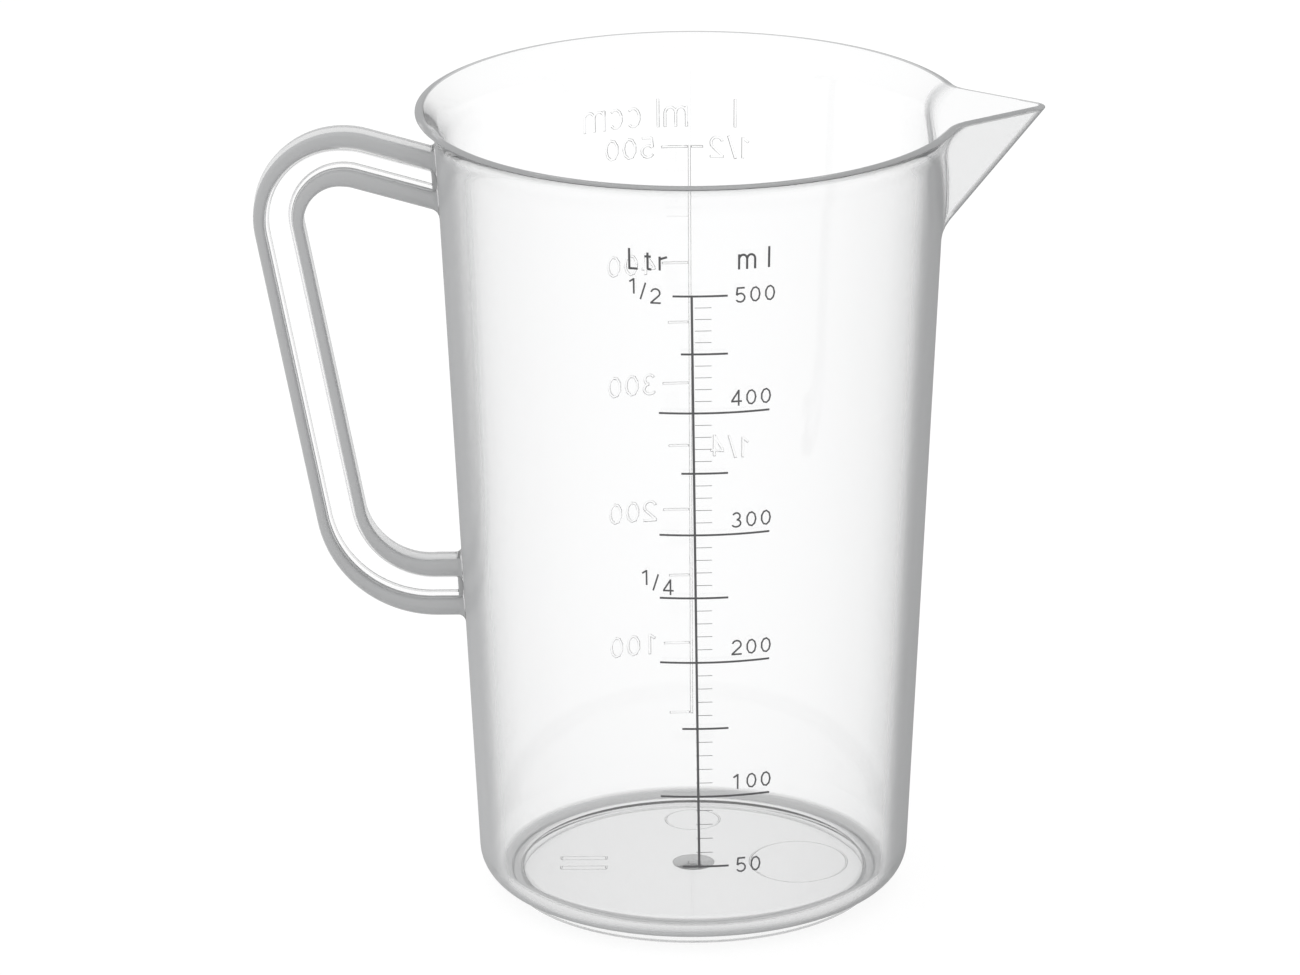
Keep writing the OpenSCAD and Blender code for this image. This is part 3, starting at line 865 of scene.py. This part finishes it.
@dataclass
class FloorMarks:
    """The marks under the floor: fine beads round plain shapes, and the gate's pad."""

    shell: JugShell
    line: float = 0.4
    shown: float = 0.12
    rooted: float = 0.2
    ring_radius: float = 4.85
    ring_place: Pair = (0.0, 19.8)
    oval_half: Pair = (8.4, 9.6)
    oval_place: Pair = (17.8, 0.0)
    bar_size: Pair = (8.0, 1.5)
    bar_place: float = -18.6
    bar_gap: float = 4.4
    bar_corner: float = 0.3
    gate_radius: float = 3.55
    nub_radius: float = 0.9
    steps: int = 96
    edge_steps: int = 5

    def oval(self, place: Pair, half: Pair) -> np.ndarray:
        """Points round an oval, from above.

        Args:
            place: The oval's centre.
            half: Its half widths.

        Returns:
            Points of the bead's middle line.
        """
        turn = np.arange(self.steps) * 2 * math.pi / self.steps
        inset = self.line / 2
        return np.stack([
            place[0] + (half[0] - inset) * np.cos(turn),
            place[1] + (half[1] - inset) * np.sin(turn),
        ], -1)

    def frame_path(self, y: float) -> np.ndarray:
        """Points round a long frame with small round corners, from above.

        Args:
            y: The frame's place across the jug.

        Returns:
            Points of the bead's middle line.
        """
        points: list[Pair] = []
        half_x = (self.bar_size[0] - self.line) / 2 - self.bar_corner
        half_y = self.bar_size[1] / 2 - self.bar_corner
        for k, (sx, sy) in enumerate(((1, 1), (-1, 1), (-1, -1), (1, -1))):
            start = k * math.pi / 2
            for c, s in arc(start, start + math.pi / 2, self.edge_steps + 1):
                points.append((
                    self.bar_place + sx * half_x + self.bar_corner * c,
                    y + sy * half_y + self.bar_corner * s,
                ))
        return np.array(points)

    def bead(self, name: str, path: np.ndarray) -> bpy.types.Object:
        """Sweeps a low round bead along a closed path under the floor.

        Args:
            name: Name of the object.
            path: Points of the bead's middle line, one row each.

        Returns:
            The bead's object.
        """
        along = np.roll(path, -1, 0) - np.roll(path, 1, 0)
        along /= np.linalg.norm(along, axis=1, keepdims=True)
        across = np.stack([along[:, 1], -along[:, 0]], -1)
        bends = arc(0, math.pi, 2 * self.edge_steps - 1)
        outline = [(self.line / 2 * c, -self.shown * s) for c, s in bends]
        outline += [(-self.line / 2, self.rooted), (self.line / 2, self.rooted)]
        rings = np.array([
            np.column_stack([path + across * out, np.full(len(path), self.shell.foot_height + up)])
            for out, up in outline
        ])
        rings = np.concatenate([rings, rings[:1]])
        return make_object(name, rings.reshape(-1, 3), loft(rings, closed_ends=False))

    def pad(self) -> bpy.types.Object:
        """Turns the pad of the gate with its round edge and its nub.

        Returns:
            The pad's object.
        """
        z, edge = self.shell.foot_height, self.shown
        rise = arc(0, math.pi / 2, self.edge_steps)
        places = [(self.gate_radius, z + self.rooted)]
        for c, s in rise:
            places.append((self.gate_radius - edge + edge * c, z - edge * s))
        for c, s in arc(math.pi / 2, 0, self.edge_steps):
            places.append((self.nub_radius + edge * (1 - c), z - edge * (2 - s)))
        for c, s in rise[1:]:
            places.append((self.nub_radius - edge + edge * c, z - edge * (2 + s)))
        turn = np.arange(self.steps) * 2 * math.pi / self.steps
        rings = np.array([
            np.stack([r * np.cos(turn), r * np.sin(turn), np.full(self.steps, up)], -1)
            for r, up in places
        ])
        return make_object("gate_pad_raised", rings.reshape(-1, 3), loft(rings))

    def build(self) -> tuple[list[bpy.types.Object], bpy.types.Object]:
        """Makes the beads and the pad.

        Returns:
            The beads, and the gate's pad.
        """
        half = (self.ring_radius, self.ring_radius)
        beads = [
            self.bead("ring_bead", self.oval(self.ring_place, half)),
            self.bead("oval_bead", self.oval(self.oval_place, self.oval_half)),
            self.bead("bar_bead_left", self.frame_path(-self.bar_gap / 2)),
            self.bead("bar_bead_right", self.frame_path(self.bar_gap / 2)),
        ]
        return beads, self.pad()


@dataclass
class Moulding:
    """The whole moulding, joined to one skin as it leaves the mould.

    A haze is how milky a painted place looks: painted shade on the inner bend and
    the base corner, painted light in the spout's root and milk with painted shade
    along the keel; the flare's painted light takes milk off. What goes with it says
    where or at which tilt the place starts, and how wide its soft edge is.
    """

    shell: JugShell
    handle: Handle
    finishes: tuple[ClearPlastic, ...]
    name: str = "jug_moulding"
    crease: float = math.radians(38)
    line_draft: float = 0.13
    lip_band: float = 0.35
    lip_top: float = 0.17
    lip_over: float = 0.1
    lip_over_top: float = 0.3
    level: float = 0.995
    web_near: float = 0.3
    web_side: float = 0.6
    arm_off: float = 0.8
    # Painted light in the spout's root, painted shade on the bend and the base corner, and milk with
    # painted shade along the keel:
    root_painted_light: float = 0.95
    root_off: float = 1.15
    root_half: float = 1.4
    bend_painted_shade: float = 0.62
    bend_from: Pair = (28.2, 1.5)
    bend_tilt: Pair = (0.82, 0.15)
    bend_level: float = 0.3
    corner_painted_shade: float = 0.75
    corner_tilt: Pair = (0.3, 0.4)
    corner_span: Pair = (0.3, 8.0)
    keel_milk_and_painted_shade: float = 0.85
    keel_side: Pair = (1.9, 1.0)
    # Painted light on the flare's downward slope, leaving a darker line under the lip:
    flare_painted_light: float = 0.85
    flare_edge: float = 1.5
    flare_rise: Pair = (0.06, 0.55)
    flare_fall: Pair = (0.78, 0.15)
    flare_below: float = 1.0
    inward_tilt: float = 0.02
    floor_below: float = 0.1
    keel_out: float = 0.5
    nodes: tuple[str, ...] = (
        "body_wall", "base_corner", "floor_disc", "foot_ring", "rim_lip", "spout",
        "handle_outer_flange", "handle_inner_flange", "handle_web",
        "moulded_rib", "moulded_marks", "moulded_numerals", "moulded_headings",
        "gate_pad", "ring_mark", "oval_mark", "bar_marks",
    )

    def __post_init__(self) -> None:
        """Makes the materials, in the order of the skins' numbers."""
        self.materials = [finish.material() for finish in self.finishes]

    def shell_skin(self, place: Vector, normal: Vector) -> Skin:
        """Tells which finish a face of the shell has.

        Args:
            place: The face's centre, in metres.
            normal: The face's outward normal.

        Returns:
            The part of the surface.
        """
        shell = self.shell
        outward = normal.x * place.x + normal.y * place.y > 0
        if place.z > (shell.rim_low - self.lip_band) * MM:
            angle = np.array([math.atan2(place.y, place.x)])
            inner = shell.inside(angle, np.array([shell.height]))[0]
            on_top = place.z > (shell.height - self.lip_top) * MM
            over = self.lip_over_top if on_top else self.lip_over
            if math.hypot(place.x, place.y) > (inner - over) * MM:
                return Skin.LIP
        if abs(normal.z) > self.level:
            return Skin.FLOOR if normal.z > 0 else Skin.INSIDE
        # The spout's inner face takes the lighter copy of the plastic: painted light.
        if not outward and place.z > (shell.height - shell.spout_drop) * MM and place.x > 0:
            return Skin.ROOT
        if not outward or place.z < shell.foot_height * MM:
            return Skin.INSIDE
        return Skin.OUTSIDE

    def handle_skin(self, place: Vector, normal: Vector) -> Skin:
        """Tells which finish a face of the handle has.

        Args:
            place: The face's centre, in metres.
            normal: The face's outward normal.

        Returns:
            The part of the surface.
        """
        near_web = abs(place.y) < (self.handle.web / 2 + self.web_near) * MM
        wall = self.shell.radius(place.z / MM) + self.arm_off
        clear = near_web and math.hypot(place.x, place.y) >= wall * MM
        return Skin.INSIDE if clear and abs(normal.y) > self.web_side else Skin.THICK

    def paint(self, mesh: bpy.types.Mesh) -> None:
        """Stores the painted light and shade: where the haze is more or less than its angle gives.

        Args:
            mesh: The joined moulding.
        """
        shell = self.shell
        count = len(mesh.vertices)
        place, facing = np.empty(3 * count), np.empty(3 * count)
        mesh.vertices.foreach_get("co", place)
        mesh.vertices.foreach_get("normal", facing)
        x, y, z = place.reshape(-1, 3).T / MM
        nx, ny, nz = facing.reshape(-1, 3).T
        r, angle = np.hypot(x, y), np.arctan2(y, x)
        inward = nx * x + ny * y < self.inward_tilt * r
        # Painted light: a band of the lighter milk inside the spout's root, where the inside gets less
        # light.
        spout = shell.spout_radius(angle, z, shell.spout_tip - shell.spout_wall)
        off = smooth_step(np.abs(r - spout - self.root_off), 0, self.root_half)
        root = np.where(inward & (z > shell.height - shell.spout_drop), 1 - off, 0)
        # Painted shade: a darker milky ring on the inner bend between the floor and the wall.
        on_bend = (nz > self.bend_level) & (z > shell.floor_top - self.floor_below)
        on_bend &= z < shell.floor_top + shell.fillet
        ring = smooth_step(r, *self.bend_from) * smooth_step(nz, *self.bend_tilt)
        bend = np.where(on_bend, ring, 0)
        # Painted shade: milk on the outer base corner where it faces down.
        low, top = self.corner_span
        under = ~inward & (z > low) & (z < top) & (r > shell.foot_radius)
        corner = smooth_step(np.where(under, -nz, 0), *self.corner_tilt)
        # Along the spout's keel: the thick ridge's milk, with painted shade along it.
        beyond = ~inward & (r > shell.radius(shell.height) + self.keel_out) & (x > 0)
        keel = np.where(beyond, 1 - smooth_step(np.abs(y), *self.keel_side), 0)
        haze = np.maximum.reduce([
            self.root_painted_light * root, self.bend_painted_shade * bend, self.corner_painted_shade * corner,
            self.keel_milk_and_painted_shade * keel,
        ])
        # Painted light: milk taken off the flare's downward slope below the lip, which leaves a darker
        # line where it faces most downward.
        beak = shell.spout_radius(angle, z, shell.spout_tip)
        high = z > shell.neck - self.flare_below
        round_part = smooth_step(r, beak, self.flare_edge) * ~inward * high
        rising = smooth_step(-nz, *self.flare_rise) * (1 - smooth_step(-nz, *self.flare_fall))
        for name, values in ((PAINTED_LIGHT_SHADE_AND_MILK, haze), (PAINTED_FLARE_LIGHT, self.flare_painted_light * round_part * rising)):
            layer = mesh.attributes.new(name, "FLOAT", "POINT")
            layer.data.foreach_set("value", values.astype(np.float32))

    def dress(
        self, item: bpy.types.Object, skin: Callable[[Vector, Vector], Skin]
    ) -> None:
        """Gives an object all the finishes and each face its own.

        Args:
            item: A closed object.
            skin: Tells the part of the surface from a face's centre and normal.
        """
        item.data.materials.clear()
        for material in self.materials:
            item.data.materials.append(material)
        for face in item.data.polygons:
            face.material_index = skin(face.center, face.normal).value

    @staticmethod
    def join(base: bpy.types.Object, added: list[bpy.types.Object]) -> bpy.types.Mesh:
        """Unites closed meshes one after another.

        Args:
            base: The object that the others are added to.
            added: Closed objects that overlap it.

        Returns:
            The united mesh.
        """
        for other in added:
            union = base.modifiers.new("union", "BOOLEAN")
            union.operation = "UNION"
            union.solver = "MANIFOLD"
            union.object = other
        seen = base.evaluated_get(bpy.context.evaluated_depsgraph_get())
        mesh = bpy.data.meshes.new_from_object(seen)
        for item in [base, *added]:
            bpy.data.objects.remove(item)
        return mesh

    @staticmethod
    def clean(mesh: bpy.types.Mesh, passes: int = 3) -> None:
        """Takes out the slivers and the folded faces that the union left.

        Args:
            mesh: The united mesh, which is made triangles.
            passes: How many times folded faces are looked for.
        """
        work = bmesh.new()
        work.from_mesh(mesh)
        bmesh.ops.dissolve_degenerate(work, dist=WELD, edges=work.edges)
        bmesh.ops.triangulate(work, faces=work.faces)
        for _ in range(passes):
            bmesh.ops.dissolve_degenerate(work, dist=WELD, edges=work.edges)
            folded = []
            for point in work.verts:
                sides = [frozenset(face.verts) for face in point.link_faces]
                if len(sides) > len(set(sides)):
                    folded.append(min(point.link_edges, key=lambda edge: edge.calc_length()))
            bmesh.ops.collapse(work, edges=list(set(folded)))
        work.to_mesh(mesh)
        work.free()

    def build(self) -> bpy.types.Object:
        """Builds and dresses the moulding.

        Returns:
            The finished piece, which stands for all the moulding's CAD nodes.
        """
        base, handle = self.shell.build(), self.handle.build()
        beads, pad = FloorMarks(self.shell).build()
        marks = []
        for node in self.nodes:
            if node.startswith("moulded"):
                mark = RaisedMark(node, self.shell)
                if node == "moulded_marks":
                    mark.draft_in = self.line_draft
                marks.append(mark.build())
        marks += beads
        self.dress(base, self.shell_skin)
        self.dress(handle, self.handle_skin)
        self.dress(pad, lambda place, normal: Skin.GATE)
        for item in marks:
            self.dress(item, lambda place, normal: Skin.INSIDE)
        mesh = self.join(base, [handle, pad, *marks])
        mesh.name = self.name
        self.clean(mesh)
        self.paint(mesh)
        piece = new_object(self.name, mesh)
        mesh.shade_smooth()
        mesh.set_sharp_from_angle(angle=self.crease)
        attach(piece, BODY)
        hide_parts(*self.nodes)
        return piece


@dataclass
class Strip:
    """Printed strips of one kind, laid round the wall at a list of heights."""

    heights: list[float]
    left: float
    right: float
    width: float
    thickness: float = 0.07
    lean: float = 0.0
    middle: float = 0.0


class WallPrint:
    """A node tree that lays flat strips round the jug's cone."""

    NUMBERS = ("Left", "Right", "Width", "Thickness", "Lean", "Middle", "Radius", "Slope")
    ALONG = 20
    UP = 3

    def __init__(self) -> None:
        """Builds the tree and keeps its inputs' identifiers."""
        self.tree = bpy.data.node_groups.new("wall_print", "GeometryNodeTree")
        face = self.tree.interface
        face.new_socket(name="Heights", in_out="INPUT", socket_type="NodeSocketGeometry")
        kinds = {name: "NodeSocketFloat" for name in self.NUMBERS} | {"Ink": "NodeSocketMaterial"}
        self.ids = {
            name: face.new_socket(name=name, in_out="INPUT", socket_type=kind).identifier
            for name, kind in kinds.items()
        }
        face.new_socket(name="Print", in_out="OUTPUT", socket_type="NodeSocketGeometry")
        self.fill()

    def fill(self) -> None:
        """Adds the nodes: a strip on each height, bent round the cone, in ink."""
        graph = Graph(self.tree)
        source = graph.add("NodeGroupInput").outputs
        left, right, width, thickness, lean, middle, radius, slope = (
            source[name] for name in self.NUMBERS
        )
        size = graph.add("ShaderNodeCombineXYZ", {
            0: graph.math("SUBTRACT", right, left), 1: thickness, 2: width,
        })
        strip = graph.add("GeometryNodeMeshCube", {
            "Vertices X": self.ALONG, "Vertices Z": self.UP, "Size": size,
        })
        centre = graph.math("MULTIPLY", graph.math("ADD", left, right), 0.5)
        shift = graph.add("GeometryNodeTransform", {
            "Geometry": strip, "Translation": graph.add("ShaderNodeCombineXYZ", {0: centre}),
        })
        spread = graph.add("GeometryNodeInstanceOnPoints", {
            "Points": source["Heights"], "Instance": shift,
        })
        real = graph.add("GeometryNodeRealizeInstances", {"Geometry": spread})
        place = graph.add("GeometryNodeInputPosition")
        x, y, z = graph.add("ShaderNodeSeparateXYZ", {"Vector": place}).outputs
        wall = graph.math("MULTIPLY_ADD", z, slope, radius)
        leaned = graph.math("MULTIPLY_ADD", graph.math("SUBTRACT", middle, z), lean, x)
        turn = graph.math("DIVIDE", leaned, wall)
        out = graph.math("ADD", wall, graph.math("MULTIPLY_ADD", thickness, 0.5, y))
        east = graph.math("MULTIPLY", out, graph.math("SINE", turn))
        back = graph.math("MULTIPLY", graph.math("COSINE", turn), -1.0)
        north = graph.math("MULTIPLY", out, back)
        bend = graph.add("GeometryNodeSetPosition", {
            "Geometry": real, "Position": graph.add("ShaderNodeCombineXYZ", {0: east, 1: north, 2: z}),
        })
        outwards = graph.add("GeometryNodeFlipFaces", {"Mesh": bend})
        inked = graph.add("GeometryNodeSetMaterial", {"Geometry": outwards, "Material": source["Ink"]})
        graph.add("NodeGroupOutput", {"Print": inked})

    def lay(
        self, name: str, strips: list[Strip], shell: JugShell, ink: bpy.types.Material
    ) -> bpy.types.Object:
        """Lays some kinds of strips and joins them to one piece.

        Args:
            name: Name of the piece.
            strips: The kinds of strips.
            shell: The jug's shell, which gives the cone.
            ink: The ink's material.

        Returns:
            The piece, with a plain mesh.
        """
        joined = bmesh.new()
        for strip in strips:
            mesh = bpy.data.meshes.new(name + "_heights")
            mesh.from_pydata([(0, 0, z * MM) for z in strip.heights], [], [])
            item = new_object(mesh.name, mesh)
            modifier = item.modifiers.new("print", "NODES")
            modifier.node_group = self.tree
            values = (
                strip.left * MM, strip.right * MM, strip.width * MM, strip.thickness * MM,
                math.tan(strip.lean), strip.middle * MM, shell.radius(0) * MM, shell.slope,
            )
            for key, value in zip(self.NUMBERS, values):
                modifier[self.ids[key]] = value
            modifier[self.ids["Ink"]] = ink
            seen = item.evaluated_get(bpy.context.evaluated_depsgraph_get())
            laid = bpy.data.meshes.new_from_object(seen)
            joined.from_mesh(laid)
            bpy.data.objects.remove(item)
            bpy.data.meshes.remove(laid)
        mesh = bpy.data.meshes.new(name)
        joined.to_mesh(mesh)
        joined.free()
        mesh.materials.append(ink)
        return new_object(name, mesh)


@dataclass
class PrintedScale:
    """The ink on the wall: a line, its marks, the numerals and the headings."""

    shell: JugShell
    ink: PrintedInk
    marks: int = 10
    fine_marks: int = 50
    full_height: float = 116.6
    line_width: float = 0.4
    line_thickness: float = 0.08
    line_place: float = 0.25
    line_lean: float = math.radians(0.54)
    mark_width: float = 0.33
    fine_width: float = 0.07
    fine_reach: float = 2.95
    short_right: float = 5.6
    short_left: float = 2.0
    long_right: float = 12.5
    long_left: float = 5.6
    full_left: float = 3.3
    lettering: tuple[str, ...] = ("printed_numerals", "printed_headings")

    def height(self, share: float) -> float:
        """Height of the level at which a share of the full volume is reached.

        Args:
            share: Share of the full volume, from 0 to 1.

        Returns:
            The level's height.
        """
        shell = self.shell
        start = shell.radius(0) - shell.wall_run
        low = start + shell.floor_top * shell.slope
        high = start + self.full_height * shell.slope
        radius = (low**3 + share * (high**3 - low**3)) ** (1 / 3)
        return (radius - start) / shell.slope

    def kinds(self) -> list[Strip]:
        """Sorts the marks by their length.

        Returns:
            The four kinds of marks, from the long ones to the full one.
        """
        half = self.marks // 2
        short = [i for i in range(1, self.marks) if i % 2 and i != half]
        long = list(range(2, self.marks, 2))
        sizes = (
            (long, self.long_left, self.long_right), (short, self.short_left, self.short_right),
            ([half], self.long_left, self.short_right),
            ([self.marks], self.full_left, self.short_right),
        )
        return [
            Strip([self.height(i / self.marks) for i in marks], -left, right, self.mark_width)
            for marks, left, right in sizes
        ]

    def build(self) -> list[bpy.types.Object]:
        """Lays the line and the marks, and dresses the lettering in ink.

        Returns:
            The pieces laid and the CAD nodes dressed.
        """
        ink = self.ink.material()
        printer = WallPrint()
        low, high = self.height(1 / self.marks), self.full_height
        middle = (low + high) / 2
        half = self.line_width / 2
        line = Strip(
            [middle], self.line_place - half, self.line_place + half, high - low + self.mark_width,
            self.line_thickness, self.line_lean, middle,
        )
        each = self.fine_marks // self.marks
        fine = [i for i in range(each, self.fine_marks) if i % each]
        fine_strip = Strip(
            [self.height(i / self.fine_marks) for i in fine], self.line_place, self.fine_reach,
            self.fine_width,
        )
        laid = {
            "printed_line": [line], "printed_marks": self.kinds(),
            "printed_fine_marks": [fine_strip],
        }
        pieces = []
        for node, strips in laid.items():
            piece = printer.lay(node.replace("printed", "ink"), strips, self.shell, ink)
            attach(piece, BODY)
            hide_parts(node)
            pieces.append(piece)
        for node in self.lettering:
            piece = frame["nodes"][node]
            piece.data.materials.clear()
            piece.data.materials.append(ink)
            pieces.append(piece)
        return pieces


@dataclass
class Studio:
    """A pale floor, an even white surround and the photographer's camera."""

    floor_size: float = 6000.0
    floor_gap: float = 0.05
    seen: float = 1.0
    mirrored: float = 0.8
    level: float = 0.7
    top_level: float = 1.5
    from_left: float = 0.21
    floor_glow: float = 1.1
    floor_glow_share: float = 0.8
    floor_colour: float = 0.85
    camera_place: Triple = (0.868, -1360.31, 543.90)
    yaw: float = -0.005811
    pitch: float = 0.335473
    roll: float = -0.0054102
    focal_pixels: float = 8619.9
    image_width: float = 1300.0
    sensor: float = 36.0
    clip: Pair = (0.05, 20.0)
    jug_turn: float = math.radians(0.4)
    bounces: int = 32
    bounces_through: int = 24
    bounces_mirrored: int = 12

    def surround(self, graph: Graph) -> Socket:
        """Light of the surround by the kind of ray.

        Args:
            graph: The tree it is built in.

        Returns:
            A socket with white for what is seen straight or through the jug, a
            darker grey for what has been mirrored, and the light's level elsewhere.
        """
        path = graph.add("ShaderNodeLightPath").outputs
        straight = graph.math("MAXIMUM", path["Is Camera Ray"], path["Is Transmission Ray"])
        shown = graph.math("MAXIMUM", straight, path["Is Glossy Ray"])
        bounced = graph.math("GREATER_THAN", path["Glossy Depth"], 0.5)
        mirror = graph.add("ShaderNodeMix", {"Factor": bounced, "A": self.seen, "B": self.mirrored})
        light = graph.add("ShaderNodeMix", {
            "Factor": shown, "A": self.overhead(graph), "B": mirror.outputs["Result"],
        })
        return light.outputs["Result"]

    def overhead(self, graph: Graph) -> Socket:
        """Strength of the soft light, greatest from above and a little from the left.

        Args:
            graph: The tree it is built in.

        Returns:
            A socket with the strength in the direction that the ray came from.
        """
        direction = graph.add("ShaderNodeNewGeometry").outputs["Incoming"]
        axes = graph.add("ShaderNodeSeparateXYZ", {"Vector": direction}).outputs
        rise = graph.add("ShaderNodeMapRange", {
            "Value": axes["Z"], "From Min": 0.0, "From Max": -1.0,
            "To Min": self.level, "To Max": self.top_level,
        })
        return graph.math("MULTIPLY_ADD", axes["X"], self.from_left, rise)

    def world(self) -> None:
        """Lights the scene with an even surround."""
        world = bpy.data.worlds.new("studio_surround")
        world.use_nodes = True
        graph = Graph(world.node_tree)
        back = graph.add("ShaderNodeBackground", {"Strength": self.surround(graph)})
        graph.add("ShaderNodeOutputWorld", {"Surface": back})
        bpy.context.scene.world = world

    def floor(self) -> None:
        """Lays the pale floor, which keeps a faint shadow of the jug."""
        half, z = self.floor_size / 2, -self.floor_gap
        corners = np.array([[-half, -half, z], [half, -half, z], [half, half, z], [-half, half, z]])
        mesh = bpy.data.meshes.new("floor")
        mesh.from_pydata((corners * MM).tolist(), [], [(0, 1, 2, 3)])
        piece = new_object("studio_floor", mesh)
        material, graph = new_material("pale_floor")
        plain = graph.add("ShaderNodeBsdfDiffuse", {"Color": (*[self.floor_colour] * 3, 1)})
        glow = graph.add("ShaderNodeEmission", {
            "Color": (*[self.floor_glow] * 3, 1), "Strength": self.surround(graph),
        })
        mix = graph.add("ShaderNodeMixShader", {0: self.floor_glow_share, 1: plain, 2: glow})
        graph.add("ShaderNodeOutputMaterial", {"Surface": mix})
        mesh.materials.append(material)

    def camera(self) -> None:
        """Sets up the camera of the reference view."""
        data = bpy.data.cameras.new("camera")
        data.sensor_width = self.sensor
        data.lens = self.focal_pixels / self.image_width * self.sensor
        data.clip_start, data.clip_end = self.clip
        camera = new_object("camera", data)
        yaw, ahead = self.yaw + self.jug_turn, math.cos(self.pitch)
        look = Vector((math.sin(yaw) * ahead, math.cos(yaw) * ahead, -math.sin(self.pitch)))
        level = Vector((math.cos(yaw), -math.sin(yaw), 0))
        upright = level.cross(look)
        right = level * math.cos(self.roll) + upright * math.sin(self.roll)
        up = upright * math.cos(self.roll) - level * math.sin(self.roll)
        place = Matrix.Rotation(-self.jug_turn, 3, "Z") @ Vector(self.camera_place) * MM
        turn = Matrix((right, up, -look)).transposed().to_4x4()
        camera.matrix_world = Matrix.Translation(place) @ turn
        bpy.context.scene.camera = camera

    def build(self) -> None:
        """Sets up the surround, the floor, the camera and the view settings."""
        scene = bpy.context.scene
        scene.view_settings.view_transform = "Standard"
        scene.cycles.max_bounces = self.bounces
        scene.cycles.transmission_bounces = self.bounces_through
        scene.cycles.glossy_bounces = self.bounces_mirrored
        self.world()
        self.floor()
        self.camera()


CLEAR_HAZE = ((0.0, 0.01), (0.3, 0.015), (0.5, 0.03), (0.7, 0.15), (0.85, 0.35), (1.0, 0.5))
FINISHES = (
    ClearPlastic("clear_polypropylene", CLEAR_HAZE),
    ClearPlastic("milky_polypropylene", (
        (0.0, 0.0), (0.17, 0.05), (0.31, 0.11), (0.415, 0.17), (0.48, 0.24),
        (0.56, 0.37), (0.61, 0.55), (0.66, 0.78), (0.73, 0.9), (1.0, 0.92),
    )),
    ClearPlastic("thick_polypropylene", (
        (0.0, 0.92), (0.5, 0.88), (0.67, 0.45), (0.8, 0.35), (1.0, 0.5),
    )),
    ClearPlastic("lip_polypropylene", ((0.0, 0.7), (0.5, 0.75), (0.8, 0.8), (1.0, 0.9))),
    ClearPlastic("floor_polypropylene", ((0.0, 0.05), (0.6, 0.07), (1.0, 0.2))),
    ClearPlastic("gate_polypropylene", ((0.0, 0.55), (1.0, 0.6)), seen_within=True),
    # A lighter copy of the plastic for the spout's inner face: painted light.
    ClearPlastic("root_painted_light_polypropylene", CLEAR_HAZE, milk=(0.76, 0.765, 0.77)),
)


def main() -> None:
    """Builds the studio and the jug."""
    logging.basicConfig(level=logging.INFO, format="%(name)s: %(message)s")
    Studio().build()
    shell = JugShell()
    moulding = Moulding(shell, Handle(shell), FINISHES)
    scale = PrintedScale(shell, PrintedInk("scale_ink"))
    for piece in (moulding.build(), *scale.build()):
        log.info("%s: %d faces", piece.name, len(piece.data.polygons))


if __name__ == "__main__":
    main()
